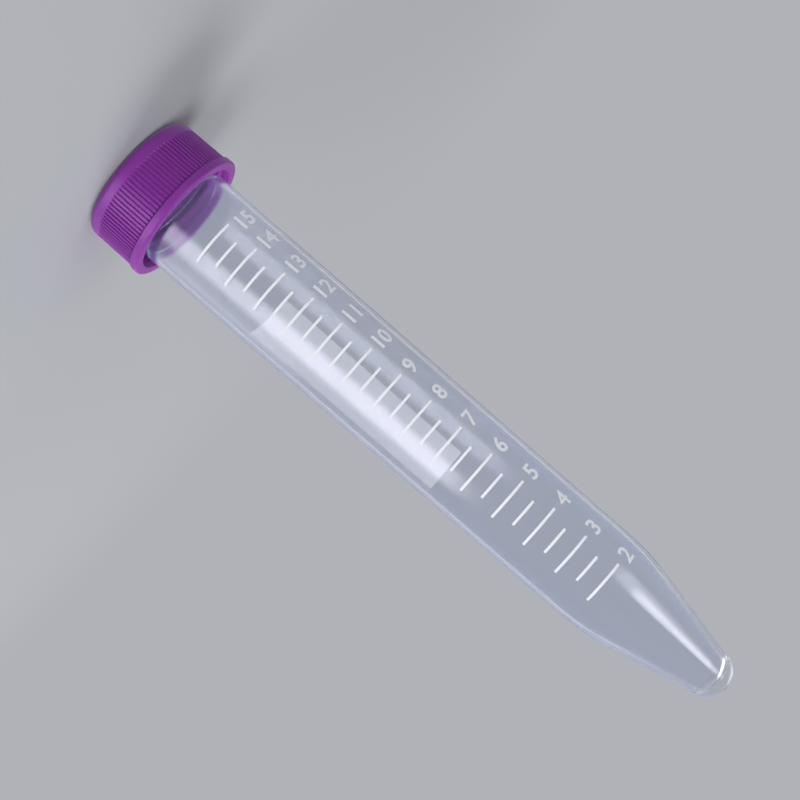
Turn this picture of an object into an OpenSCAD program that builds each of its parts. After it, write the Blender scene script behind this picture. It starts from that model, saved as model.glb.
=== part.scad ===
// Fifteen millilitre conical tube with its screw cap.
// It stands on the flat top of the cap. Z runs along the tube towards its tip,
// and the origin is the centre of the cap's top face.

/* [Tube] */
// Length of the tube from its open rim to its tip
tube_length = 118.5; // [100:0.5:145]
// Outer diameter of the parallel band below the cap
body_d = 16.8; // [14:0.1:21]
// Outer diameter where the cone begins
cone_d = 16.16; // [13.4:0.02:20.2]
// Length of the parallel band, from the rim
band_length = 40; // [30:1:60]
// Length of the cone, from its corner to the tip
cone_length = 22; // [18:0.5:27]
// Diameter of the cone at the tip, before it is rounded
tip_d = 6.5; // [5.4:0.1:8]
// Radius round the tip
tip_round = 3; // [2:0.1:3.2]
// Radius that blends the body into the cone
shoulder_blend = 29; // [15:1:34]
// Thickness of the straight wall
wall = 0.92; // [0.7:0.01:1.2]
// Thickness of the cone's wall
cone_wall = 1.1; // [0.9:0.05:1.4]
// Thickness of the plastic at the tip
foot_wall = 2; // [1.6:0.1:2.6]
// Diameter of the gate mark on the tip
gate_d = 1.3; // [0.8:0.1:1.6]
// Height of the gate mark
gate_height = 0.3; // [0.2:0.05:0.5]

/* [Neck] */
// Length of the neck that the cap covers
neck_length = 8.6; // [7:0.1:11]
// How far the neck stands in from the body
neck_step = 0.2; // [0.1:0.05:0.4]
// Radius on the two edges of the rim
rim_round = 0.2; // [0.1:0.05:0.25]

/* [Screw cap] */
// Height of the cap
cap_height = 10.5; // [9.5:0.1:14]
// Thickness of the cap's flat top
roof = 1.2; // [1:0.1:1.8]
// Radial room between neck and cap, which the two threads share
thread_room = 1.25; // [1:0.05:1.6]
// Thickness of the skirt, ribs included
skirt_wall = 1.6; // [1.3:0.05:2.2]
// How much narrower the skirt is at its top
skirt_draft = 0.1; // [0:0.02:0.2]
// Radius round the edge of the top
top_round = 1.5; // [0.8:0.1:2]
// Height of the plain lip at the open end
lip_height = 1.6; // [1.2:0.1:2.2]
// How far the lip stands out from the skirt
lip_step = 0.3; // [0.1:0.05:0.6]
// Radius on the lip's outer edge
lip_round = 0.35; // [0.15:0.05:0.5]
// Depth of the bevel that leads the tube into the cap
mouth_depth = 0.9; // [0.5:0.1:1.2]
// How much that bevel widens the mouth
mouth_flare = 0.35; // [0.1:0.05:0.5]

/* [Grip ribs] */
// Number of ribs round the skirt
rib_count = 100; // [60:1:120]
// Depth of the grooves between the ribs
rib_depth = 0.26; // [0.15:0.01:0.4]
// Height at which the ribs begin, above the cap's top face
rib_start = 2.4; // [2.2:0.1:4]
// Share of the spacing that the top of a rib takes
rib_share = 0.42; // [0.3:0.02:0.6]

/* [Sealing plug] */
// Length of the ring that plugs the bore
plug_length = 2; // [1.4:0.1:2.6]
// Thickness of that ring
plug_wall = 0.8; // [0.6:0.05:1.1]
// Radial gap between the ring and the bore
plug_gap = 0.07; // [0.03:0.01:0.1]
// Bevel on the ring's leading edge
plug_bevel = 0.3; // [0.1:0.05:0.4]

/* [Hidden] */
$fn = 96;
// Flats along each arc of a section: the long blends, the tip and the cap's top edge
blend_steps = 6;
tip_steps = 10;
round_steps = 8;

// Heights above the cap's top face
rim_z = roof;
neck_z = rim_z + neck_length;
band_z = rim_z + band_length;
tip_z = rim_z + tube_length;
corner_z = tip_z - cone_length;
foot_z = tip_z - foot_wall;

// Outer radii of the tube
body_r = body_d / 2;
neck_r = body_r - neck_step;
corner_r = cone_d / 2;
tip_r = tip_d / 2;

// The cone's slope, and its inner wall measured square to the outer one
cone_slope = (corner_r - tip_r) / cone_length;
cone_angle = atan(cone_slope);
cone_wall_flat = cone_wall / cos(cone_angle);

// The bore narrows evenly from the rim, then meets the cone's inner wall
bore_r = body_r - wall;
bore_slope = (bore_r - (corner_r - wall)) / (corner_z - rim_z);
line_gap = bore_r - corner_r + cone_wall_flat + bore_slope * (rim_z - corner_z);
bore_corner_z = corner_z - line_gap / (cone_slope - bore_slope);
bore_corner_r = bore_r - bore_slope * (bore_corner_z - rim_z);
foot_r = corner_r - cone_wall_flat - cone_slope * (foot_z - corner_z);
foot_round = tip_round - cone_wall;

// How deep the foot of the gate mark sits in the tip
gate_sink = foot_wall / 2;

// Radii of the cap
cap_bore_r = neck_r + thread_room;
skirt_r = cap_bore_r + skirt_wall;
lip_r = skirt_r + lip_step;
lip_z = cap_height - lip_height;
mouth_r = cap_bore_r + mouth_flare;
plug_r = bore_r - plug_gap;
plug_z = roof + plug_length;

// How far a cut runs past the surface it leaves
past = 1;

function unit(v) = v / norm(v);

function polar(r, a) = [r * cos(a), r * sin(a)];

function bearing(v) = atan2(v[1], v[0]);

// Points of an arc of radius r that rounds off corner b, whose sides run to a and c
function rounded(a, b, c, r, steps) =
    let (
        to_a = unit(a - b),
        to_c = unit(c - b),
        half = acos(to_a * to_c) / 2,
        back = r / tan(half),
        centre = b + unit(to_a + to_c) * r / sin(half),
        first = bearing(b + to_a * back - centre),
        last = bearing(b + to_c * back - centre),
        turn = (last - first + 540) % 360 - 180
    )
    [for (i = [0 : steps]) centre + polar(r, first + turn * i / steps)];

// Half of the tube's section: up the outside from the rim to the tip, and back down the bore
module tube_section() {
    rim_out = [neck_r, rim_z];
    neck_foot = [neck_r, neck_z];
    body_top = [body_r, neck_z + neck_step];
    band_end = [body_r, band_z];
    corner = [corner_r, corner_z];
    tip_edge = [tip_r, tip_z];
    foot_edge = [foot_r, foot_z];
    bore_corner = [bore_corner_r, bore_corner_z];
    rim_in = [bore_r, rim_z];
    polygon(concat(
        rounded(rim_in, rim_out, neck_foot, rim_round, 4),
        [neck_foot, body_top, band_end],
        rounded(band_end, corner, tip_edge, shoulder_blend, blend_steps),
        rounded(corner, tip_edge, [0, tip_z], tip_round, tip_steps),
        [[0, tip_z], [0, foot_z]],
        rounded([0, foot_z], foot_edge, bore_corner, foot_round, tip_steps),
        rounded(foot_edge, bore_corner, rim_in, shoulder_blend - cone_wall, blend_steps),
        rounded(bore_corner, rim_in, rim_out, rim_round, 4)
    ));
}

module tube() {
    color([0.78, 0.82, 0.87, 0.45]) {
        rotate_extrude()
            tube_section();
        translate([0, 0, tip_z - gate_sink])
            cylinder(h = gate_sink + gate_height, d = gate_d);
    }
}

// Half of the cap's section: the roof, the skirt with its lip, and the room for the threads
module cap_section() {
    top_edge = [skirt_r - skirt_draft, 0];
    skirt_foot = [skirt_r, lip_z];
    lip_top = [lip_r, lip_z + lip_step];
    lip_edge = [lip_r, cap_height];
    mouth = [mouth_r, cap_height];
    bore_end = [cap_bore_r, cap_height - mouth_depth];
    polygon(concat(
        [[0, 0]],
        rounded([0, 0], top_edge, skirt_foot, top_round, round_steps),
        [skirt_foot, lip_top],
        rounded(lip_top, lip_edge, mouth, lip_round, 4),
        [mouth, bore_end, [cap_bore_r, roof], [0, roof]]
    ));
}

// Section of the ring that plugs the tube's bore, with its foot sunk in the roof
module plug_section() {
    polygon([
        [plug_r - plug_wall, roof / 2],
        [plug_r, roof / 2],
        [plug_r, plug_z - plug_bevel],
        [plug_r - plug_bevel, plug_z],
        [plug_r - plug_wall, plug_z]
    ]);
}

// The grooves that leave the ribs standing, as one ring of teeth to cut away
module rib_grooves() {
    step = 360 / rib_count;
    crest = step * rib_share / 2;
    flank = step * (1 - rib_share) / 4;
    valley_r = skirt_r - rib_depth;
    outline = [
        for (i = [0 : rib_count - 1], p = [
            polar(skirt_r + past, i * step - crest),
            polar(skirt_r + past, i * step + crest),
            polar(valley_r, i * step + crest + flank),
            polar(valley_r, (i + 1) * step - crest - flank)
        ]) p
    ];
    translate([0, 0, rib_start])
        linear_extrude(height = lip_z - rib_start)
            difference() {
                circle(r = skirt_r + past);
                polygon(outline);
            }
}

module screw_cap() {
    color([0.53, 0.24, 0.58])
        difference() {
            rotate_extrude() {
                cap_section();
                plug_section();
            }
            rib_grooves();
        }
}

tube();
screw_cap();
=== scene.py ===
"""A fifteen millilitre conical tube that stands on its screw cap, with its printed scale."""

import math

import bpy
from bpy.props import FloatProperty, FloatVectorProperty, IntProperty, PointerProperty
from mathutils import Euler, Matrix, Vector, noise


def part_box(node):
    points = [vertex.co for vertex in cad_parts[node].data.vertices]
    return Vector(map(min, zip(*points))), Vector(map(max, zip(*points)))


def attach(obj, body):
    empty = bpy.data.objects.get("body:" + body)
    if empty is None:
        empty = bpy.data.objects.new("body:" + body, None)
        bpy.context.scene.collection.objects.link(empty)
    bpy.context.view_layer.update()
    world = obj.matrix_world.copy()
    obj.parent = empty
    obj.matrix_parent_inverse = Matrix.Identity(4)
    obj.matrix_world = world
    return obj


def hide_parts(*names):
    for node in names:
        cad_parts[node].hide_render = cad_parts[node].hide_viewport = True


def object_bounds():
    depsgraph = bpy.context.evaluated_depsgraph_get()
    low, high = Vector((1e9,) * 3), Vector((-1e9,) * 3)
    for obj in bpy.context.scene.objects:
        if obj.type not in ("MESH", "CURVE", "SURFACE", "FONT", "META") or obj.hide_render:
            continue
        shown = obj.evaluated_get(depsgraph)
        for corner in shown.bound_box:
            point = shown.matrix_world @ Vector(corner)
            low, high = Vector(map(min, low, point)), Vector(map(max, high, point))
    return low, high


bl_info = {
    "name": "Conical Tube Maker",
    "version": (1, 0, 0),
    "blender": (4, 5, 0),
    "location": "View3D > Sidebar > Labware",
    "description": "Builds a conical tube, its screw cap, its printed scale and a plain studio",
    "category": "Add Mesh",
}

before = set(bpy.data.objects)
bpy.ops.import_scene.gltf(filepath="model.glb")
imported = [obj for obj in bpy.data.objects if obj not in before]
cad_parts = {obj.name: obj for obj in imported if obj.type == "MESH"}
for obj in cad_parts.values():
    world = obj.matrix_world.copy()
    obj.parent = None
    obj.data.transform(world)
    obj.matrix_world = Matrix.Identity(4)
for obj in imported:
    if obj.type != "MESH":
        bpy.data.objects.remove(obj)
cad_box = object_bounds()
tube_low, tube_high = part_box("tube")
cap_low, cap_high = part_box("screw_cap")

MM = 0.001
MERGE = 0.001 * MM
# Faces along the arcs of an outline: small moulded edges, wider ones, blends, and the tip
SOFT_STEPS = 3
EDGE_STEPS = 6
BLEND_STEPS = 14
TIP_STEPS = 16
# Distance from a bend to the ring of corners that keeps the flat beside it flat, and the largest
# share of that flat which it may take
HOLD = 0.15 * MM
HOLD_SHARE = 0.25
# Least squared length of a corner's direction, which keeps a figure's sharp corners from moving
# more than 1.6 times as far as its sides
CORNER_LEAST = 0.4
# The gate mark's broken outline, as shares of its radius and of its height
GATE_OUTLINE = ((1, 0), (0.96, 0.8), (0.8, 1), (0.45, 0.75), (0, 0.6))
# How far the break is uneven, as a share of its height, and how wide its bumps are
GATE_BUMP = 0.25
GATE_BUMP_WIDTH = 0.3 * MM
# Tint of light that has passed a face of the clear wall on its way to a shadow
PASSED_LIGHT = (0.96, 0.965, 0.97)
# How far the soft lamps and the cards stand from the tube's axis, and the lamps' size
LAMP_DISTANCE = 750 * MM
LAMP_WIDTH = 500 * MM
LAMP_HEIGHT = 300 * MM
CARD_DISTANCE = 500 * MM
SENSOR_MM = 36


def length(name, description, default):
    """A size in metres, shown with its unit."""
    return FloatProperty(
        name=name, description=description, default=default, min=0, unit="LENGTH", precision=5
    )


def angle(name, description, default):
    """An angle, given here in degrees."""
    return FloatProperty(
        name=name, description=description, default=math.radians(default), subtype="ANGLE"
    )


def number(name, description, default):
    """A plain number, such as a brightness."""
    return FloatProperty(name=name, description=description, default=default, min=0)


def linear(hex_colour):
    """The linear colour of an sRGB hex value."""
    channels = [int(hex_colour[i : i + 2], 16) / 255 for i in (1, 3, 5)]
    return [c / 12.92 if c <= 0.04045 else ((c + 0.055) / 1.055) ** 2.4 for c in channels]


def colour(name, description, hex_colour):
    """A colour, given here as an sRGB hex value."""
    return FloatVectorProperty(
        name=name,
        description=description,
        default=linear(hex_colour),
        subtype="COLOR",
        size=3,
        min=0,
        max=1,
    )


# ---------------------------------------------------------------------------------------------
# Sizes and colours


class TubeSizes(bpy.types.PropertyGroup):
    """Sizes of the moulded tube."""

    rim: length("Rim height", "Height of the open rim above the cap's top face", tube_low.z)
    end: length("End height", "Height of the gate mark on the tip", tube_high.z)
    body_radius: length("Body radius", "Outer radius of the parallel band", tube_high.x)
    band_length: length("Band length", "Length of the parallel band, from the rim", 40 * MM)
    cone_radius: length("Cone radius", "Outer radius where the cone begins", 8.08 * MM)
    cone_length: length("Cone length", "Length from the cone's corner to the tip", 22 * MM)
    tip_radius: length("Tip radius", "Radius of the cone at the tip, before rounding", 3.25 * MM)
    tip_round: length("Tip rounding", "Radius round the tip", 3 * MM)
    blend: length("Shoulder blend", "Radius that blends the body into the cone", 29 * MM)
    wall: length("Wall", "Thickness of the straight wall", 0.92 * MM)
    cone_wall: length("Cone wall", "Thickness of the cone's wall", 1.1 * MM)
    foot_wall: length("Foot wall", "Thickness of the plastic at the tip", 2 * MM)
    gate_radius: length("Gate radius", "Radius of the gate mark on the tip", 0.65 * MM)
    gate_height: length("Gate height", "Height of the gate mark", 0.3 * MM)
    neck_length: length("Neck length", "Length of the neck that the cap covers", 8.6 * MM)
    neck_step: length("Neck step", "How far the neck stands in from the body", 0.2 * MM)
    rim_round: length("Rim rounding", "Radius on the rim's two edges", 0.2 * MM)
    steps: IntProperty(name="Steps", description="Faces round the tube", default=192, min=48)


class CapSizes(bpy.types.PropertyGroup):
    """Sizes of the moulded cap."""

    height: length("Height", "Height of the cap", cap_high.z)
    lip_radius: length("Lip radius", "Outer radius of the lip at the open end", cap_high.x)
    roof: length("Roof", "Thickness of the flat top", tube_low.z)
    bore_radius: length("Bore radius", "Inner radius between the threads", 9.45 * MM)
    lip_height: length("Lip height", "Height of the plain lip", 1.6 * MM)
    lip_step: length("Lip step", "How far the lip stands out from the skirt", 0.3 * MM)
    lip_round: length("Lip rounding", "Radius on the lip's outer edge", 0.35 * MM)
    draft: length("Draft", "How much narrower the skirt is at its top", 0.1 * MM)
    top_round: length("Top rounding", "Radius round the edge of the top", 1.5 * MM)
    mouth_depth: length("Mouth depth", "Depth of the bevel at the mouth", 0.9 * MM)
    mouth_flare: length("Mouth flare", "How much that bevel widens the mouth", 0.35 * MM)
    edge_round: length("Edge rounding", "Radius on the small moulded edges", 0.1 * MM)
    rib_count: IntProperty(name="Ribs", description="Ribs round the skirt", default=100, min=20)
    rib_steps: IntProperty(name="Rib steps", description="Faces across one rib", default=6, min=4)
    rib_depth: length("Rib depth", "Depth of the grooves between the ribs", 0.26 * MM)
    rib_start: length("Rib start", "Height at which the ribs begin", 2.4 * MM)
    rib_run_in: length("Rib run-in", "Height over which a groove gets its depth", 0.3 * MM)
    rib_share: number("Rib share", "Share of the spacing that a rib's top takes", 0.42)
    plug_length: length("Plug length", "Length of the ring that plugs the bore", 2 * MM)
    plug_wall: length("Plug wall", "Thickness of that ring", 0.8 * MM)
    plug_gap: length("Plug gap", "Gap between the ring and the bore", 0.07 * MM)
    plug_bevel: length("Plug bevel", "Bevel on the ring's leading edge", 0.3 * MM)


class ThreadSizes(bpy.types.PropertyGroup):
    """Sizes that the tube's thread and the cap's thread share."""

    pitch: length("Pitch", "Rise of the thread in one turn", 3 * MM)
    turns: number("Turns", "Turns of the thread", 1.5)
    start: length("Start", "Distance from the rim to the start of the tube's thread", 1.5 * MM)
    tube_depth: length("Tube thread", "How far the thread stands out from the neck", 0.85 * MM)
    cap_depth: length("Cap thread", "How far the thread stands in from the cap's bore", 0.9 * MM)
    crest: length("Crest", "Width of the thread's flat crest", 0.45 * MM)
    flank: length("Flank", "Width of each sloping side", 0.45 * MM)
    run_in: number("Run-in", "Share of a turn over which an end fades", 0.07)
    tube_row: length("Tube row", "Height of a row of faces under the tube's thread", 0.06 * MM)
    cap_row: length("Cap row", "Height of a row of faces under the cap's thread", 0.1 * MM)


class PrintSizes(bpy.types.PropertyGroup):
    """Sizes and places of the ink on the tube."""

    top: IntProperty(name="Top", description="Highest volume on the scale, in ml", default=15)
    bottom: IntProperty(name="Bottom", description="Lowest volume on the scale", default=2)
    line_width: length("Line width", "Width of the scale's lines", 0.42 * MM)
    long_from: angle("Long line from", "Where a long line starts, from the front", -25)
    long_to: angle("Long line to", "Where a long line ends", 26.5)
    short_from: angle("Short line from", "Where a half-millilitre line starts", -15.5)
    short_to: angle("Short line to", "Where a half-millilitre line ends", 17.5)
    figure_at: angle("Figures at", "Where the figures start", -35)
    figure_height: length("Figure height", "Height of the figures", 2.65 * MM)
    figure_spread: number("Figure spread", "How much wider than plain type they are", 1.08)
    figure_weight: length("Figure weight", "How far the strokes are thickened", 0.08 * MM)
    low_line: length("Lowest line", "Height of the scale's lowest line", 94.46 * MM)
    low_gap: length("Lowest gap", "Gap from the lowest whole line to the next", 6.25 * MM)
    gap_loss: length("Gap loss", "How much each next gap shrinks, as the bore widens", 0.057 * MM)
    top_shift: length("Top figure shift", "How far the top figure sits off its line", 1.0 * MM)
    patch_from: angle("Patch from", "Where the writing patch starts", 110)
    patch_to: angle("Patch to", "Where the writing patch ends", 185)
    patch_low: length("Patch low", "Height of the patch's end next to the cap", 29.2 * MM)
    patch_high: length("Patch high", "Height of the patch's other end", 66.5 * MM)
    patch_round: length("Patch rounding", "Radius of the patch's corners", 0.3 * MM)
    ink: length("Ink", "Thickness of the ink", 0.025 * MM)
    ink_gap: length("Ink gap", "Gap that keeps the ink off the wall's facets", 0.004 * MM)
    facet: length("Facet", "Longest step of the ink round the wall", 0.4 * MM)


class Finishes(bpy.types.PropertyGroup):
    """Colours of the plastics, the ink and the studio."""

    plastic: colour("Plastic", "Tint of the clear polypropylene", "#EFF2F8")
    haze: colour("Haze", "Light that the clear plastic scatters back", "#ACBEFF")
    haze_share: number("Haze share", "Share of the light that a face scatters", 0.012)
    edge_haze: number("Edge haze", "That share where the light grazes the wall", 0.14)
    haze_density: number("Haze density", "Scattering in a metre of the plastic", 70)
    cap: colour("Cap", "Purple of the cap", "#862B99")
    cap_shade: colour("Cap shade", "Purple where the pigment lies thicker", "#7A258D")
    ink: colour("Ink", "White of the print", "#F4F5FB")
    ink_thin: colour("Thin ink", "White where the print lies thinner", "#E9EBF3")
    ink_glow: number("Ink glow", "Share of the light that passes the scale's ink", 0.06)
    patch: colour("Patch", "White of the writing patch", "#FBFAFB")
    patch_thin: colour("Thin patch", "White where the patch's ink lies thinner", "#F3F2F5")
    patch_glow: number("Patch glow", "Share of the light that passes the patch's ink", 0.7)
    backdrop: colour("Backdrop", "Pale grey of the floor and backdrop", "#B0B2B8")
    card: colour("Card", "Faint lilac of the cards that the clear walls mirror", "#F3F0FF")
    daylight: colour("Daylight", "Light that comes from all round", "#FFFFFF")


class StudioSizes(bpy.types.PropertyGroup):
    """Places of the camera and the floor, and the strength of the lamps and cards."""

    lens: FloatProperty(name="Lens", description="Focal length", default=62.1, unit="CAMERA")
    distance: length("Distance", "From the tube's axis to the camera", 212.3 * MM)
    height: length("Height", "Height of the camera above the floor", 63.2 * MM)
    aside: FloatProperty(
        name="Aside",
        description="How far the camera stands to the right of the axis",
        default=-0.54 * MM,
        unit="LENGTH",
        precision=5,
    )
    tilt: angle("Tilt", "How far the camera looks down", 2.5)
    roll: angle("Roll", "How far the camera is rolled on its side", 131)
    floor_radius: length("Floor radius", "Radius of the round floor", 420 * MM)
    fade_from: length("Fade from", "Where the floor starts to fade into the backdrop", 33.6 * MM)
    fade_to: length("Fade to", "Where the floor is all backdrop", 315 * MM)
    daylight: number("Daylight", "Brightness of the light from all round", 0.4)
    key: number("Key", "Brightness of the soft main lamp", 7.6)
    fill: number("Fill", "Brightness of the soft second lamp", 3.2)
    back: number("Back", "Brightness of the soft lamp behind the tube", 12.0)
    shine: number("Shine", "Brightness of the card that the wall mirrors", 4.9)
    side: number("Side", "Brightness of the dim card beside the tube", 0.9)
    high: number("High", "Brightness of the high card that the cone mirrors", 4.9)
    tip: number("Tip", "Brightness of the card that the tip's edge shows", 1.8)
    rim: number("Rim", "Brightness of the cards that the wall's two edges show", 0.7)
    floor_light: number("Floor light", "How bright the lamps make the bare floor", 1.15)


# ---------------------------------------------------------------------------------------------
# Shapes


def rounded(before, corner, after, radius, steps):
    """Points of the arc that rounds a corner of an outline, from the side before it on."""
    before, corner, after = Vector(before), Vector(corner), Vector(after)
    back = (before - corner).normalized()
    on = (after - corner).normalized()
    half = back.angle(on) / 2
    centre = corner + (back + on).normalized() * radius / math.sin(half)
    reach = radius / math.tan(half)
    first = corner + back * reach - centre
    last = corner + on * reach - centre
    start = math.atan2(first.y, first.x)
    turn = (math.atan2(last.y, last.x) - start + 3 * math.pi) % math.tau - math.pi
    angles = [start + turn * i / steps for i in range(steps + 1)]
    return [(centre.x + radius * math.cos(a), centre.y + radius * math.sin(a)) for a in angles]


def rows(start, end, longest):
    """Points between two points of an outline, both left out, with no step over the longest."""
    start, end = Vector(start), Vector(end)
    count = math.ceil((end - start).length / longest)
    return [tuple(start.lerp(end, i / count)) for i in range(1, count)]


def radius_at(outline, height):
    """Radius of an outline of (radius, height) points at a height."""
    for (r0, z0), (r1, z1) in zip(outline, outline[1:]):
        if min(z0, z1) <= height <= max(z0, z1) and z0 != z1:
            return r0 + (r1 - r0) * (height - z0) / (z1 - z0)
    raise ValueError(f"the outline doesn't reach a height of {height / MM:.1f} mm")


def smooth_step(x):
    """0 below 0, 1 above 1, and a smooth rise between."""
    x = min(max(x, 0), 1)
    return x * x * (3 - 2 * x)


def deselect():
    """Leaves no object selected and no mesh in edit mode."""
    if bpy.context.object and bpy.context.object.mode != "OBJECT":
        bpy.ops.object.mode_set(mode="OBJECT")
    bpy.ops.object.select_all(action="DESELECT")


def select_only(*objects):
    """Selects some objects and nothing else, with the first one active."""
    deselect()
    for obj in objects:
        obj.select_set(True)
    bpy.context.view_layer.objects.active = objects[0]


def name_piece(obj, name):
    """Gives an object and its mesh the same name."""
    obj.name = name
    obj.data.name = name
    return obj


def hold_flats(outline):
    """Adds a point close to each end of a long straight run, where the shading stays flat."""
    held = outline[:1]
    for start, end in zip(outline, outline[1:]):
        share = HOLD / (Vector(end) - Vector(start)).length
        if share < HOLD_SHARE:
            held += [tuple(Vector(start).lerp(end, s)) for s in (share, 1 - share)]
        held.append(end)
    return held


def lathe(name, outline, steps):
    """Draws an outline of (radius, height) points by extruding one corner, and spins it."""
    outline = hold_flats(outline)
    deselect()
    bpy.ops.mesh.primitive_plane_add(size=MM)
    obj = name_piece(bpy.context.object, name)
    bpy.ops.object.mode_set(mode="EDIT")
    bpy.ops.mesh.select_all(action="SELECT")
    bpy.ops.mesh.merge(type="CENTER")
    bpy.ops.transform.translate(value=(outline[0][0], 0, outline[0][1]))
    for (r0, z0), (r1, z1) in zip(outline, outline[1:]):
        bpy.ops.mesh.extrude_vertices_move(TRANSFORM_OT_translate={"value": (r1 - r0, 0, z1 - z0)})
    bpy.ops.mesh.select_all(action="SELECT")
    bpy.ops.mesh.spin(steps=steps, angle=math.tau, center=(0, 0, 0), axis=(0, 0, 1))
    bpy.ops.mesh.select_all(action="SELECT")
    bpy.ops.mesh.remove_doubles(threshold=MERGE)
    bpy.ops.object.mode_set(mode="OBJECT")
    return obj


def shape_wall(obj, reach):
    """Moves each corner of a turned mesh in or out by what reach gives for its place."""
    for v in obj.data.vertices:
        radius = math.hypot(v.co.x, v.co.y)
        if radius > MERGE:
            azimuth = math.atan2(v.co.y, v.co.x) % math.tau
            scale = 1 + reach(radius, azimuth, v.co.z) / radius
            v.co.x *= scale
            v.co.y *= scale
    obj.data.update()


def finish_turned(obj, sharpest):
    """Points the faces outwards and shades the mesh smooth below an angle in degrees."""
    select_only(obj)
    bpy.ops.object.mode_set(mode="EDIT")
    bpy.ops.mesh.select_all(action="SELECT")
    bpy.ops.mesh.normals_make_consistent(inside=False)
    bpy.ops.object.mode_set(mode="OBJECT")
    bpy.ops.object.shade_smooth_by_angle(angle=math.radians(sharpest))


def thread_rise(thread, azimuth, height, start):
    """How much of its depth a right-handed thread has at a place on the wall, from 0 to 1."""
    most = 0
    for lap in range(math.ceil(thread.turns) + 1):
        along = azimuth / math.tau + lap
        off = abs(height - start - thread.pitch * along)
        side = (thread.crest / 2 + thread.flank - off) / thread.flank
        end = min(along, thread.turns - along) / thread.run_in
        most = max(most, smooth_step(side) * smooth_step(end))
    return most


def tube_bore(t):
    """The bore from its foot to the rim, as (radius, height) points."""
    tip = t.end - t.gate_height
    corner_height = tip - t.cone_length
    slope = (t.cone_radius - t.tip_radius) / t.cone_length
    cone_wall = t.cone_wall / math.cos(math.atan(slope))
    rim_radius = t.body_radius - t.wall
    taper = (rim_radius - (t.cone_radius - t.wall)) / (corner_height - t.rim)
    gap = rim_radius - t.cone_radius + cone_wall + taper * (t.rim - corner_height)
    bend_height = corner_height - gap / (slope - taper)
    bend = (rim_radius - taper * (bend_height - t.rim), bend_height)
    foot_height = tip - t.foot_wall
    foot = (t.cone_radius - cone_wall - slope * (foot_height - corner_height), foot_height)
    mouth = (rim_radius, t.rim)
    rim_edge = (t.body_radius - t.neck_step, t.rim)
    middle = (0, foot_height)
    return (
        [middle]
        + rounded(middle, foot, bend, t.tip_round - t.cone_wall, TIP_STEPS)
        + rounded(foot, bend, mouth, t.blend - t.cone_wall, BLEND_STEPS)
        + rounded(bend, mouth, rim_edge, t.rim_round, EDGE_STEPS)
    )


def tube_outside(t, row=1 * MM):
    """The outside from the rim to the tip, with rows of faces where the thread may be."""
    tip = t.end - t.gate_height
    mouth = (t.body_radius - t.wall, t.rim)
    rim_edge = (t.body_radius - t.neck_step, t.rim)
    neck_foot = (rim_edge[0], t.rim + t.neck_length)
    body_top = (t.body_radius, neck_foot[1] + t.neck_step)
    band_end = (t.body_radius, t.rim + t.band_length)
    corner = (t.cone_radius, tip - t.cone_length)
    tip_edge = (t.tip_radius, tip)
    rim_arc = rounded(mouth, rim_edge, neck_foot, t.rim_round, EDGE_STEPS)
    return (
        rim_arc
        + rows(rim_arc[-1], neck_foot, row)
        + rounded(rim_edge, neck_foot, body_top, t.neck_step / 2, SOFT_STEPS)
        + rounded(neck_foot, body_top, band_end, t.neck_step / 2, SOFT_STEPS)
        + [band_end]
        + rounded(band_end, corner, tip_edge, t.blend, BLEND_STEPS)
        + rounded(corner, tip_edge, (0, tip), t.tip_round, TIP_STEPS)
    )


def cap_outline(c, tube, thread, start):
    """The cap's section from the middle of its roof, out round the lip, to its top face, with
    fine rows under the thread, which starts at a height."""
    skirt = c.lip_radius - c.lip_step
    lip = c.height - c.lip_height
    plug = tube.body_radius - tube.wall - c.plug_gap
    plug_in = plug - c.plug_wall
    plug_end = c.roof + c.plug_length
    roof_edge = (c.bore_radius, c.roof)
    thread_foot = (c.bore_radius, start - thread.crest / 2 - thread.flank)
    bore_end = (c.bore_radius, c.height - c.mouth_depth)
    mouth = (c.bore_radius + c.mouth_flare, c.height)
    lip_edge = (c.lip_radius, c.height)
    lip_top = (c.lip_radius, lip + c.lip_step)
    skirt_foot = (skirt, lip)
    top_edge = (skirt - c.draft, 0)
    groove_top = (skirt - c.draft * (1 - c.rib_start / lip), c.rib_start)
    groove_full = (groove_top[0], c.rib_start + c.rib_run_in)
    soft = (c.edge_round, SOFT_STEPS)
    return (
        [(0, c.roof)]
        + rounded((0, c.roof), (plug_in, c.roof), (plug_in, plug_end), *soft)
        + rounded((plug_in, c.roof), (plug_in, plug_end), (plug, plug_end), *soft)
        + rounded((plug_in, plug_end), (plug - c.plug_bevel, plug_end), (plug, c.roof), *soft)
        + [(plug, plug_end - c.plug_bevel)]
        + rounded((plug, plug_end), (plug, c.roof), roof_edge, *soft)
        + rounded((plug, c.roof), roof_edge, bore_end, *soft)
        + [thread_foot]
        + rows(thread_foot, bore_end, thread.cap_row)
        + [bore_end]
        + rounded(bore_end, mouth, lip_edge, *soft)
        + rounded(mouth, lip_edge, lip_top, c.lip_round, EDGE_STEPS)
        + rounded(lip_edge, lip_top, skirt_foot, *soft)
        + [skirt_foot, groove_full, groove_top]
        + rounded(skirt_foot, top_edge, (0, 0), c.top_round, BLEND_STEPS)
        + [(0, 0)]
    )


# ---------------------------------------------------------------------------------------------
# Print


def stand_up(obj, height, spin=0):
    """Turns flat art that faces +Z to face the front, and lifts it to a height."""
    turn = Matrix.Rotation(spin, 4, "Y") @ Matrix.Rotation(math.radians(90), 4, "X")
    obj.data.transform(Matrix.Translation((0, 0, height)) @ turn)


def join(pieces, name):
    """Joins several meshes into one named piece."""
    select_only(*pieces)
    bpy.ops.object.join()
    return name_piece(bpy.context.object, name)


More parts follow.
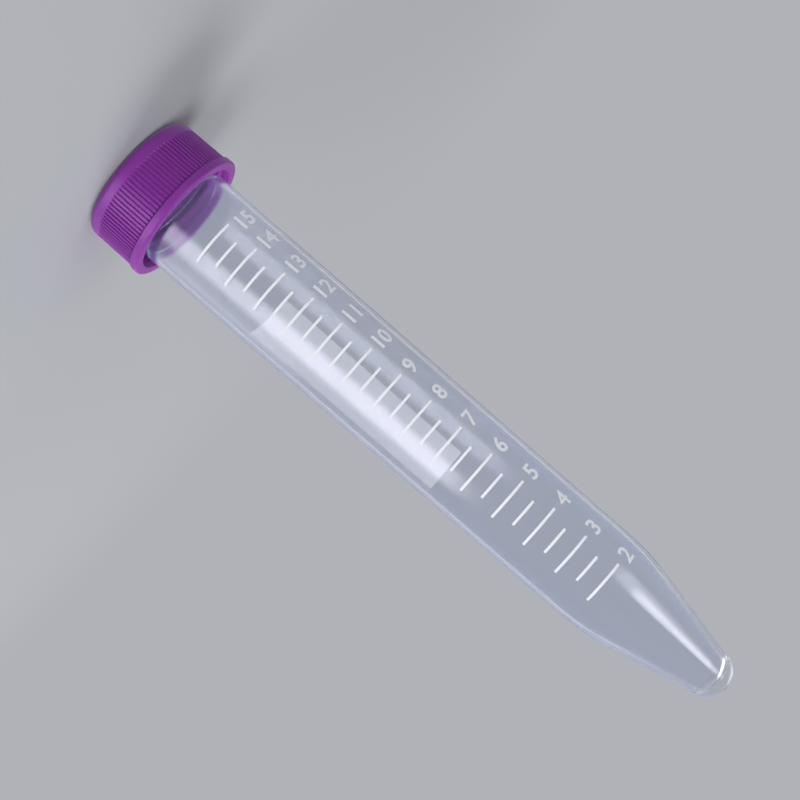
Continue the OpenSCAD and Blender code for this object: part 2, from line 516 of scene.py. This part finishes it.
def wrap_on_tube(obj, outside, sizes):
    """Cuts flat art into narrow strips and at the wall's bends, wraps it round the wall and gives
    it the ink's thickness. The art's X is the way round the parallel band, from the front."""
    select_only(obj)
    across = [v.co.x for v in obj.data.vertices]
    along = [v.co.z for v in obj.data.vertices]
    strips = math.ceil((max(across) - min(across)) / sizes.facet)
    cuts = [((min(across) + i * sizes.facet, 0, 0), (1, 0, 0)) for i in range(1, strips)]
    for _, bend in outside:
        if min(along) < bend < max(along):
            cuts.append(((0, 0, bend), (0, 0, 1)))
    bpy.ops.object.mode_set(mode="EDIT")
    for place, facing in cuts:
        bpy.ops.mesh.select_all(action="SELECT")
        bpy.ops.mesh.bisect(plane_co=place, plane_no=facing)
    bpy.ops.mesh.select_all(action="SELECT")
    bpy.ops.mesh.remove_doubles(threshold=MERGE)
    bpy.ops.object.mode_set(mode="OBJECT")
    band = max(radius for radius, _ in outside)
    lift = sizes.ink_gap + sizes.ink / 2
    for v in obj.data.vertices:
        azimuth = v.co.x / band
        radius = radius_at(outside, v.co.z) + lift
        v.co.x, v.co.y = radius * math.sin(azimuth), -radius * math.cos(azimuth)
    obj.data.update()
    bpy.ops.object.modifier_add(type="SOLIDIFY")
    ink = obj.modifiers[-1]
    ink.thickness = sizes.ink
    ink.offset = 0
    bpy.ops.object.modifier_apply(modifier=ink.name)
    return obj


def bar(name, left, right, low, high, corner=0):
    """A flat rectangle, with rounded corners if a radius is given."""
    deselect()
    bpy.ops.mesh.primitive_plane_add(size=1)
    obj = name_piece(bpy.context.object, name)
    bpy.ops.object.mode_set(mode="EDIT")
    bpy.ops.mesh.select_all(action="SELECT")
    bpy.ops.transform.resize(value=(right - left, high - low, 1))
    bpy.ops.transform.translate(value=((left + right) / 2, 0, 0))
    if corner:
        bpy.ops.mesh.bevel(affect="VERTICES", offset=corner, segments=5)
    bpy.ops.object.mode_set(mode="OBJECT")
    stand_up(obj, (low + high) / 2)
    return obj


def thicken(mesh, by):
    """Moves the outline of flat art that faces +Z outwards by a distance."""
    sides = [
        (face.vertices[i - 1], face.vertices[i])
        for face in mesh.polygons
        for i in range(len(face.vertices))
    ]
    inner = {(b, a) for a, b in sides}
    out = {}
    for a, b in sides:
        if (a, b) not in inner:
            along = (mesh.vertices[b].co - mesh.vertices[a].co).normalized()
            for corner in (a, b):
                out.setdefault(corner, []).append(Vector((along.y, -along.x, 0)))
    for corner, ways in out.items():
        way = sum(ways, Vector()) / len(ways)
        mesh.vertices[corner].co += by * way / max(way.length_squared, CORNER_LEAST)
    mesh.update()


def figure(number_shown, height, sizes, body):
    """A number in plain type, its head towards the cap, centred on a height."""
    deselect()
    bpy.ops.object.text_add()
    text = bpy.context.object
    text.data.body = str(number_shown)
    text.data.size = 1
    text.data.resolution_u = 6
    bpy.ops.object.convert(target="MESH")
    obj = bpy.context.object
    bpy.ops.object.mode_set(mode="EDIT")
    bpy.ops.mesh.select_all(action="SELECT")
    bpy.ops.mesh.remove_doubles(threshold=MERGE)
    bpy.ops.object.mode_set(mode="OBJECT")
    corners = [v.co for v in obj.data.vertices]
    low = Vector(map(min, zip(*corners)))
    high = Vector(map(max, zip(*corners)))
    tall = (sizes.figure_height - 2 * sizes.figure_weight) / (high.y - low.y)
    middle = Matrix.Translation((-low.x, -(low.y + high.y) / 2, 0))
    obj.data.transform(Matrix.Diagonal((tall * sizes.figure_spread, tall, 1, 1)) @ middle)
    thicken(obj.data, sizes.figure_weight)
    stand_up(obj, height, math.pi)
    obj.data.transform(Matrix.Translation((sizes.figure_at * body, 0, 0)))
    return obj


# ---------------------------------------------------------------------------------------------
# Materials


def add_node(tree, kind, inputs=None, **settings):
    """Adds a node, sets its properties, and gives each named input a value or a link."""
    node = tree.nodes.new(kind)
    for name, value in settings.items():
        setattr(node, name, value)
    for name, value in (inputs or {}).items():
        if isinstance(value, bpy.types.NodeSocket):
            tree.links.new(value, node.inputs[name])
        else:
            node.inputs[name].default_value = value
    return node


def new_material(name):
    """An empty material with its output, and the place on the piece for patterns."""
    material = bpy.data.materials.new(name)
    material.use_nodes = True
    tree = material.node_tree
    tree.nodes.clear()
    output = add_node(tree, "ShaderNodeOutputMaterial")
    place = add_node(tree, "ShaderNodeTexCoord").outputs["Object"]
    return material, tree, output, place


def opaque(rgb):
    """A colour with full alpha."""
    return (*rgb, 1)


def clear_polypropylene(finishes):
    """Injection-moulded clear polypropylene: glossy, with slow flow ripples and a bluish haze that
    thickens where the light runs a long way inside the wall."""
    material, tree, output, place = new_material("clear moulded polypropylene")
    # Flow ripples are about 7 mm apart
    ripple = add_node(
        tree, "ShaderNodeTexNoise", {"Vector": place, "Scale": 1 / (7 * MM), "Detail": 1.0}
    )
    gloss = add_node(
        tree,
        "ShaderNodeMapRange",
        {
            "Value": ripple.outputs["Fac"],
            "From Min": 0.3,
            "From Max": 0.7,
            "To Min": 0.06,
            "To Max": 0.1,
        },
    )
    waves = add_node(
        tree,
        "ShaderNodeBump",
        {"Height": ripple.outputs["Fac"], "Strength": 0.5, "Distance": 0.008 * MM},
    )
    glassy = add_node(
        tree,
        "ShaderNodeBsdfPrincipled",
        {
            "Base Color": opaque(finishes.plastic),
            "Roughness": gloss.outputs["Result"],
            "IOR": 1.49,
            "Transmission Weight": 1.0,
            "Normal": waves.outputs["Normal"],
        },
    )
    # The crystals in the plastic scatter a little blue light back, and more at the wall's edges,
    # where the light runs a long way through it
    haze = add_node(tree, "ShaderNodeBsdfDiffuse", {"Color": opaque(finishes.haze)})
    grazing = add_node(tree, "ShaderNodeLayerWeight", {"Blend": 0.5}).outputs["Facing"]
    steep = add_node(tree, "ShaderNodeMath", {0: grazing, 1: 2.0}, operation="POWER")
    share = add_node(
        tree,
        "ShaderNodeMapRange",
        {
            "Value": steep.outputs["Value"],
            "To Min": finishes.haze_share,
            "To Max": finishes.edge_haze,
        },
    )
    hazy = add_node(
        tree,
        "ShaderNodeMixShader",
        {0: share.outputs["Result"], 1: glassy.outputs["BSDF"], 2: haze.outputs["BSDF"]},
    )
    # Lamps reach the print and the inside of the cap through the clear wall
    path = add_node(tree, "ShaderNodeLightPath").outputs
    passing = add_node(tree, "ShaderNodeBsdfTransparent", {"Color": opaque(PASSED_LIGHT)})
    surface = add_node(
        tree,
        "ShaderNodeMixShader",
        {0: path["Is Shadow Ray"], 1: hazy.outputs["Shader"], 2: passing.outputs["BSDF"]},
    )
    # A millimetre of it scatters about a fifteenth of the light
    depth = add_node(
        tree,
        "ShaderNodeVolumeScatter",
        {"Color": opaque(finishes.haze), "Density": finishes.haze_density},
    )
    tree.links.new(surface.outputs["Shader"], output.inputs["Surface"])
    tree.links.new(depth.outputs["Volume"], output.inputs["Volume"])
    return material


def purple_polyethylene(finishes):
    """Injection-moulded polyethylene: satin, waxy, with a fine eroded texture from the mould."""
    material, tree, output, place = new_material("purple moulded polyethylene")
    # Pigment clouds are about 6 mm across, and the mould's texture about 0.25 mm
    cloud = add_node(tree, "ShaderNodeTexNoise", {"Vector": place, "Scale": 1 / (6 * MM)})
    grain = add_node(
        tree, "ShaderNodeTexNoise", {"Vector": place, "Scale": 1 / (0.25 * MM), "Detail": 3.0}
    )
    pigment = add_node(
        tree,
        "ShaderNodeMix",
        {"Factor": cloud.outputs["Fac"], "A": opaque(finishes.cap), "B": opaque(finishes.cap_shade)},
        data_type="RGBA",
    )
    satin = add_node(
        tree,
        "ShaderNodeMapRange",
        {
            "Value": grain.outputs["Fac"],
            "From Min": 0.3,
            "From Max": 0.7,
            "To Min": 0.38,
            "To Max": 0.5,
        },
    )
    texture = add_node(
        tree,
        "ShaderNodeBump",
        {"Height": grain.outputs["Fac"], "Strength": 0.5, "Distance": 0.008 * MM},
    )
    plastic = add_node(
        tree,
        "ShaderNodeBsdfPrincipled",
        {
            "Base Color": pigment.outputs["Result"],
            "Roughness": satin.outputs["Result"],
            "IOR": 1.5,
            "Subsurface Weight": 0.2,
            "Subsurface Radius": (1.0, 0.35, 0.9),
            "Subsurface Scale": 0.6 * MM,
            "Normal": texture.outputs["Normal"],
        },
    )
    tree.links.new(plastic.outputs["BSDF"], output.inputs["Surface"])
    return material


def white_ink(name, white_full, white_thin, glow):
    """Pad-printed white ink: dull and so thin that light shows through, with an uneven cover."""
    material, tree, output, place = new_material(name)
    # The cover varies over about 0.5 mm
    cover = add_node(tree, "ShaderNodeTexNoise", {"Vector": place, "Scale": 1 / (0.5 * MM)})
    white = add_node(
        tree,
        "ShaderNodeMix",
        {"Factor": cover.outputs["Fac"], "A": opaque(white_full), "B": opaque(white_thin)},
        data_type="RGBA",
    )
    solid = add_node(
        tree,
        "ShaderNodeBsdfPrincipled",
        {"Base Color": white.outputs["Result"], "Roughness": 0.6, "IOR": 1.45},
    )
    through = add_node(tree, "ShaderNodeBsdfTranslucent", {"Color": white.outputs["Result"]})
    ink = add_node(
        tree,
        "ShaderNodeMixShader",
        {0: glow, 1: solid.outputs["BSDF"], 2: through.outputs["BSDF"]},
    )
    tree.links.new(ink.outputs["Shader"], output.inputs["Surface"])
    return material


def seen_directly(tree):
    """1 for rays that look at the studio, straight or through plastic, and 0 for its light."""
    path = add_node(tree, "ShaderNodeLightPath").outputs
    seen = path["Is Camera Ray"]
    for ray in ("Is Glossy Ray", "Is Transmission Ray"):
        either = add_node(tree, "ShaderNodeMath", {0: seen, 1: path[ray]}, operation="MAXIMUM")
        seen = either.outputs["Value"]
    return seen


def seen_mirrored(tree):
    """1 for a ray that has been turned aside on its way to a lamp, and 0 for one that has only
    passed straight through the walls. A lamp's Ray Depth counts one step more than the ray made."""
    path = add_node(tree, "ShaderNodeLightPath").outputs
    depth, passes = path["Ray Depth"], path["Transmission Depth"]
    others = add_node(tree, "ShaderNodeMath", {0: depth, 1: passes}, operation="SUBTRACT")
    turned = add_node(
        tree, "ShaderNodeMath", {0: others.outputs["Value"], 1: 1.5}, operation="GREATER_THAN"
    )
    outside = add_node(tree, "ShaderNodeMath", {0: passes, 1: 0.5}, operation="LESS_THAN")
    return add_node(
        tree,
        "ShaderNodeMath",
        {0: turned.outputs["Value"], 1: outside.outputs["Value"]},
        operation="MAXIMUM",
    ).outputs["Value"]


def studio_floor(finishes, studio):
    """Pale seamless paper, which fades into the backdrop's even grey away from the tube."""
    material, tree, output, place = new_material("pale studio paper")
    distance = add_node(tree, "ShaderNodeVectorMath", {0: place}, operation="LENGTH")
    fade = add_node(
        tree,
        "ShaderNodeMapRange",
        {
            "Value": distance.outputs["Value"],
            "From Min": studio.fade_from,
            "From Max": studio.fade_to,
        },
        interpolation_type="SMOOTHSTEP",
    )
    pale = opaque([channel / studio.floor_light for channel in finishes.backdrop])
    paper = add_node(tree, "ShaderNodeBsdfDiffuse", {"Color": pale})
    even = add_node(tree, "ShaderNodeEmission", {"Color": opaque(finishes.backdrop)})
    mixed = add_node(
        tree,
        "ShaderNodeMixShader",
        {0: fade.outputs["Result"], 1: paper.outputs["BSDF"], 2: even.outputs["Emission"]},
    )
    tree.links.new(mixed.outputs["Shader"], output.inputs["Surface"])
    return material


# ---------------------------------------------------------------------------------------------
# Operators


class LABWARE_OT_make_tube(bpy.types.Operator):
    """Turn the clear tube with its thread and gate mark"""

    bl_idname = "labware.make_tube"
    bl_label = "Make Tube"

    def execute(self, context):
        t = context.scene.tube_sizes
        thread = context.scene.thread_sizes
        tip = t.end - t.gate_height
        gate = [(t.gate_radius * r, tip + t.gate_height * z) for r, z in GATE_OUTLINE]
        outline = tube_bore(t) + tube_outside(t, thread.tube_row)[1:] + gate
        obj = lathe("clear_tube", outline, t.steps)
        neck = t.body_radius - t.neck_step
        start = t.rim + thread.start

        def ridge(radius, azimuth, height):
            """The thread stands out from the neck's outside only."""
            if abs(radius - neck) > MERGE or height > t.rim + t.neck_length:
                return 0
            return thread.tube_depth * thread_rise(thread, azimuth, height, start)

        shape_wall(obj, ridge)
        for v in obj.data.vertices:
            if v.co.z > tip + MERGE:
                v.co.z += GATE_BUMP * t.gate_height * noise.noise(v.co / GATE_BUMP_WIDTH)
        finish_turned(obj, sharpest=35)
        obj.data.materials.append(clear_polypropylene(context.scene.finishes))
        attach(obj, "tube")
        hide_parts("tube")
        return {"FINISHED"}


class LABWARE_OT_make_cap(bpy.types.Operator):
    """Turn the purple cap with its grip ribs, sealing ring and thread"""

    bl_idname = "labware.make_cap"
    bl_label = "Make Screw Cap"

    def execute(self, context):
        c = context.scene.cap_sizes
        thread = context.scene.thread_sizes
        start = c.roof + thread.start + thread.pitch / 2
        outline = cap_outline(c, context.scene.tube_sizes, thread, start)
        obj = lathe("purple_screw_cap", outline, c.rib_count * c.rib_steps)
        skirt = c.lip_radius - c.lip_step

        def ribs_and_ridge(radius, azimuth, height):
            """Grooves go into the outside between the ribs, and the thread stands in from the
            bore."""
            if abs(radius - c.bore_radius) < MERGE:
                return -thread.cap_depth * thread_rise(thread, azimuth, height, start)
            if radius < skirt - 2 * c.draft or not c.rib_start < height <= c.height - c.lip_height:
                return 0
            part = azimuth / math.tau * c.rib_count % 1
            off = min(part, 1 - part)
            groove = smooth_step((off - c.rib_share / 2) / ((1 - c.rib_share) / 4))
            return -c.rib_depth * groove

        shape_wall(obj, ribs_and_ridge)
        finish_turned(obj, sharpest=40)
        obj.data.materials.append(purple_polyethylene(context.scene.finishes))
        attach(obj, "cap")
        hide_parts("screw_cap")
        return {"FINISHED"}


class LABWARE_OT_print_scale(bpy.types.Operator):
    """Print the lines and figures of the volume scale on the front of the tube"""

    bl_idname = "labware.print_scale"
    bl_label = "Print Volume Scale"

    def execute(self, context):
        t = context.scene.tube_sizes
        p = context.scene.print_sizes
        outside = tube_outside(t)
        finishes = context.scene.finishes
        ink = white_ink("white scale ink", finishes.ink, finishes.ink_thin, finishes.ink_glow)
        lines, figures = [], []
        for half in range(2 * p.top, 2 * p.bottom - 1, -1):
            above = half / 2 - p.bottom
            height = p.low_line - above * p.low_gap + above * (above - 1) / 2 * p.gap_loss
            whole = half % 2 == 0
            left = (p.long_from if whole else p.short_from) * t.body_radius
            right = (p.long_to if whole else p.short_to) * t.body_radius
            low = height - p.line_width / 2
            lines.append(bar("line", left, right, low, low + p.line_width))
            if whole:
                shift = p.top_shift if half == 2 * p.top else 0
                figures.append(figure(half // 2, height + shift, p, t.body_radius))
        for pieces, name in ((lines, "scale_lines"), (figures, "scale_figures")):
            obj = wrap_on_tube(join(pieces, name), outside, p)
            obj.data.materials.clear()
            obj.data.materials.append(ink)
            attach(obj, "tube")
        return {"FINISHED"}


class LABWARE_OT_print_patch(bpy.types.Operator):
    """Print the plain white writing patch on the back of the tube"""

    bl_idname = "labware.print_patch"
    bl_label = "Print Writing Patch"

    def execute(self, context):
        t = context.scene.tube_sizes
        p = context.scene.print_sizes
        left = p.patch_from * t.body_radius
        right = p.patch_to * t.body_radius
        flat = bar("writing_patch", left, right, p.patch_low, p.patch_high, p.patch_round)
        obj = wrap_on_tube(flat, tube_outside(t), p)
        finishes = context.scene.finishes
        ink = white_ink("white patch ink", finishes.patch, finishes.patch_thin, finishes.patch_glow)
        obj.data.materials.append(ink)
        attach(obj, "tube")
        return {"FINISHED"}


def area_lamp(name, place, target, width, height, brightness):
    """An unseen lamp with an evenly bright face that looks at a target."""
    deselect()
    bpy.ops.object.light_add(type="AREA", location=place)
    obj = name_piece(bpy.context.object, name)
    lamp = obj.data
    lamp.shape = "RECTANGLE"
    lamp.size = width
    lamp.size_y = height
    lamp.energy = brightness * math.pi * width * height
    obj.rotation_euler = (Vector(target) - Vector(place)).to_track_quat("-Z", "Y").to_euler()
    obj.visible_camera = False
    return obj


def soft_lamp(name, brightness, target, azimuth, elevation):
    """A wide lamp that lights every piece and that the walls don't mirror."""
    place = round_the_tube(azimuth, elevation, LAMP_DISTANCE, target.z)
    obj = area_lamp(name, place, target, LAMP_WIDTH, LAMP_HEIGHT, brightness)
    obj.visible_glossy = False
    obj.visible_transmission = False


def shine_card(name, brightness, azimuth, width, low, high, fade_across, fade_along):
    """An upright card that the clear walls mirror as a long streak. It gives no diffuse light and
    doesn't show straight through the walls. At each edge its light fades to nothing over a share
    of its width or height."""
    place = Vector(round_the_tube(azimuth, 0, CARD_DISTANCE, (low + high) / 2))
    obj = area_lamp(name, place, (0, 0, place.z), width, high - low, brightness)
    obj.visible_diffuse = False
    obj.data.use_nodes = True
    tree = obj.data.node_tree
    tree.nodes.clear()
    spot = add_node(tree, "ShaderNodeNewGeometry").outputs["Parametric"]
    axes = add_node(tree, "ShaderNodeSeparateXYZ", {"Vector": spot})
    strength = seen_mirrored(tree)
    for axis, share in (("X", fade_across), ("Y", fade_along)):
        edge = add_node(
            tree, "ShaderNodeMath", {0: axes.outputs[axis], 1: 0.5}, operation="PINGPONG"
        )
        fade = add_node(
            tree,
            "ShaderNodeMapRange",
            {"Value": edge.outputs["Value"], "From Max": share},
            interpolation_type="SMOOTHSTEP",
        )
        faded = add_node(
            tree, "ShaderNodeMath", {0: strength, 1: fade.outputs["Result"]}, operation="MULTIPLY"
        )
        strength = faded.outputs["Value"]
    tint = bpy.context.scene.finishes.card
    glow = add_node(tree, "ShaderNodeEmission", {"Color": opaque(tint), "Strength": strength})
    add_node(tree, "ShaderNodeOutputLight", {"Surface": glow.outputs["Emission"]})


def round_the_tube(azimuth, elevation, distance, height):
    """A place round the tube. Azimuth 0 is the front and turns towards +X, in degrees."""
    a = math.radians(azimuth)
    e = math.radians(elevation)
    flat = distance * math.cos(e)
    return (flat * math.sin(a), -flat * math.cos(a), height + distance * math.sin(e))


class LABWARE_OT_set_stage(bpy.types.Operator):
    """Set the pale floor and backdrop, the soft lamps and the camera"""

    bl_idname = "labware.set_stage"
    bl_label = "Set Stage"

    def execute(self, context):
        finishes = context.scene.finishes
        studio = context.scene.studio_sizes
        self.lay_floor(finishes, studio)
        self.light_all_round(context.scene, finishes, studio)
        middle = (cad_box[0] + cad_box[1]) / 2
        soft_lamp("key_lamp", studio.key, middle, azimuth=42, elevation=28)
        soft_lamp("fill_lamp", studio.fill, middle, azimuth=-36, elevation=25)
        soft_lamp("back_lamp", studio.back, middle, azimuth=134, elevation=20)
        self.set_cards(studio)
        self.place_camera(context.scene, studio)
        context.scene.view_settings.view_transform = "Standard"
        return {"FINISHED"}

    def set_cards(self, studio):
        """The cards: for the long streaks, the cone's streak, the tip's edge and the two rims."""
        shine_card(
            "shine_card",
            studio.shine,
            azimuth=49,
            width=625 * MM,
            low=-450 * MM,
            high=98 * MM,
            fade_across=0.37,
            fade_along=0.04,
        )
        shine_card(
            "side_card",
            studio.side,
            azimuth=98,
            width=600 * MM,
            low=-450 * MM,
            high=0,
            fade_across=0.2,
            fade_along=0.1,
        )
        shine_card(
            "high_card",
            studio.high,
            azimuth=-31,
            width=325 * MM,
            low=330 * MM,
            high=900 * MM,
            fade_across=0.35,
            fade_along=0.15,
        )
        shine_card(
            "tip_card",
            studio.tip,
            azimuth=-150,
            width=600 * MM,
            low=330 * MM,
            high=1200 * MM,
            fade_across=0.3,
            fade_along=0.15,
        )
        for name, azimuth in (("right_rim_card", 145), ("left_rim_card", -145)):
            shine_card(
                name,
                studio.rim,
                azimuth=azimuth,
                width=60 * MM,
                low=-160 * MM,
                high=300 * MM,
                fade_across=0.3,
                fade_along=0.1,
            )

    def lay_floor(self, finishes, studio):
        """A round floor that the tube stands on."""
        deselect()
        bpy.ops.mesh.primitive_circle_add(vertices=96, radius=studio.floor_radius, fill_type="NGON")
        obj = name_piece(bpy.context.object, "floor")
        obj.data.materials.append(studio_floor(finishes, studio))
        obj.visible_glossy = False
        obj.visible_transmission = False

    def light_all_round(self, scene, finishes, studio):
        """A world that gives soft light and shows as the backdrop's even grey."""
        world = bpy.data.worlds.new("studio")
        world.use_nodes = True
        scene.world = world
        tree = world.node_tree
        tree.nodes.clear()
        light = add_node(
            tree,
            "ShaderNodeBackground",
            {"Color": opaque(finishes.daylight), "Strength": studio.daylight},
        )
        look = add_node(tree, "ShaderNodeBackground", {"Color": opaque(finishes.backdrop)})
        mixed = add_node(
            tree,
            "ShaderNodeMixShader",
            {0: seen_directly(tree), 1: light.outputs["Background"], 2: look.outputs["Background"]},
        )
        output = add_node(tree, "ShaderNodeOutputWorld")
        tree.links.new(mixed.outputs["Shader"], output.inputs["Surface"])

    def place_camera(self, scene, studio):
        """A camera in front of the scale, which looks slightly down and is rolled on its side."""
        deselect()
        bpy.ops.object.camera_add(location=(studio.aside, -studio.distance, studio.height))
        obj = name_piece(bpy.context.object, "camera")
        aim = Euler((math.radians(90) - studio.tilt, 0, 0)).to_matrix()
        obj.rotation_euler = (aim @ Matrix.Rotation(studio.roll, 3, "Z")).to_euler()
        obj.data.lens = studio.lens
        obj.data.sensor_width = SENSOR_MM
        obj.data.clip_start = 10 * MM
        scene.camera = obj


class LABWARE_PT_maker(bpy.types.Panel):
    """Lists the sizes, the colours and what can be made"""

    bl_idname = "LABWARE_PT_maker"
    bl_label = "Conical Tube"
    bl_space_type = "VIEW_3D"
    bl_region_type = "UI"
    bl_category = "Labware"

    def draw(self, context):
        for title, group, operators in PANEL_ROWS:
            box = self.layout.box()
            box.label(text=title)
            sizes = getattr(context.scene, group)
            for name in sizes.__annotations__:
                box.prop(sizes, name)
            for operator in operators:
                box.operator(operator.bl_idname)


PANEL_ROWS = (
    ("Tube", "tube_sizes", (LABWARE_OT_make_tube,)),
    ("Screw cap", "cap_sizes", (LABWARE_OT_make_cap,)),
    ("Threads", "thread_sizes", ()),
    ("Print", "print_sizes", (LABWARE_OT_print_scale, LABWARE_OT_print_patch)),
    ("Colours", "finishes", ()),
    ("Studio", "studio_sizes", (LABWARE_OT_set_stage,)),
)
GROUPS = {
    "tube_sizes": TubeSizes,
    "cap_sizes": CapSizes,
    "thread_sizes": ThreadSizes,
    "print_sizes": PrintSizes,
    "finishes": Finishes,
    "studio_sizes": StudioSizes,
}
OPERATORS = (
    LABWARE_OT_make_tube,
    LABWARE_OT_make_cap,
    LABWARE_OT_print_scale,
    LABWARE_OT_print_patch,
    LABWARE_OT_set_stage,
)


def register():
    """Registers the groups of sizes, the operators and the panel."""
    for name, group in GROUPS.items():
        bpy.utils.register_class(group)
        setattr(bpy.types.Scene, name, PointerProperty(type=group))
    for operator in OPERATORS:
        bpy.utils.register_class(operator)
    bpy.utils.register_class(LABWARE_PT_maker)


def unregister():
    """Takes back what register did."""
    bpy.utils.unregister_class(LABWARE_PT_maker)
    for operator in reversed(OPERATORS):
        bpy.utils.unregister_class(operator)
    for name, group in GROUPS.items():
        delattr(bpy.types.Scene, name)
        bpy.utils.unregister_class(group)


def main():
    """Makes every piece and the studio."""
    register()
    bpy.ops.labware.make_tube()
    bpy.ops.labware.make_cap()
    bpy.ops.labware.print_scale()
    bpy.ops.labware.print_patch()
    bpy.ops.labware.set_stage()


if __name__ == "__main__":
    main()
